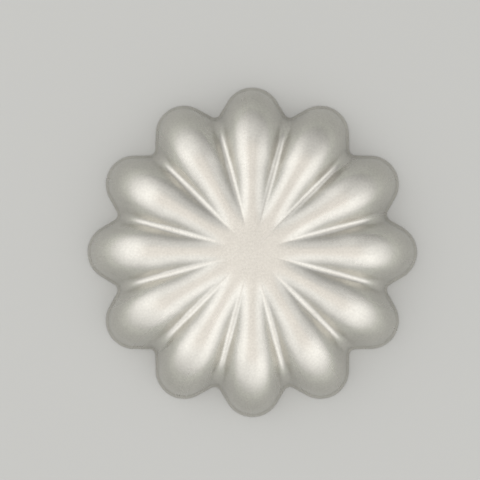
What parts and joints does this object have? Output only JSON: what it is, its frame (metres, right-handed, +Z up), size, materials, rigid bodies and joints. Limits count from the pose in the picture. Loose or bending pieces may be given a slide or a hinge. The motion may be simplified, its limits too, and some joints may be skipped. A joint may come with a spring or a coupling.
{
  "type": "fluted cake mould",
  "caption": "Flower-shaped fluted cake mould pressed from coated sheet steel, with rounded petals, a flat closed centre and a wired hem, standing upside down on the rim.",
  "frame": {"origin": "centre of the plane that the rim stands on, with the mould upside down", "axes": "+Z up, from the rim to the flat base; +X along the middle line of a petal"},
  "size_m": [0.26, 0.26, 0.045],
  "materials": {
    "coated_sheet": "satin champagne-silver non-stick coating on drawn sheet steel",
    "rim_wire": "bare drawn steel wire, hidden in the hem"
  },
  "bodies": {
    "root": {"pan_shell": "coated_sheet", "rim_wire": "rim_wire"}
  },
  "joints": []
}
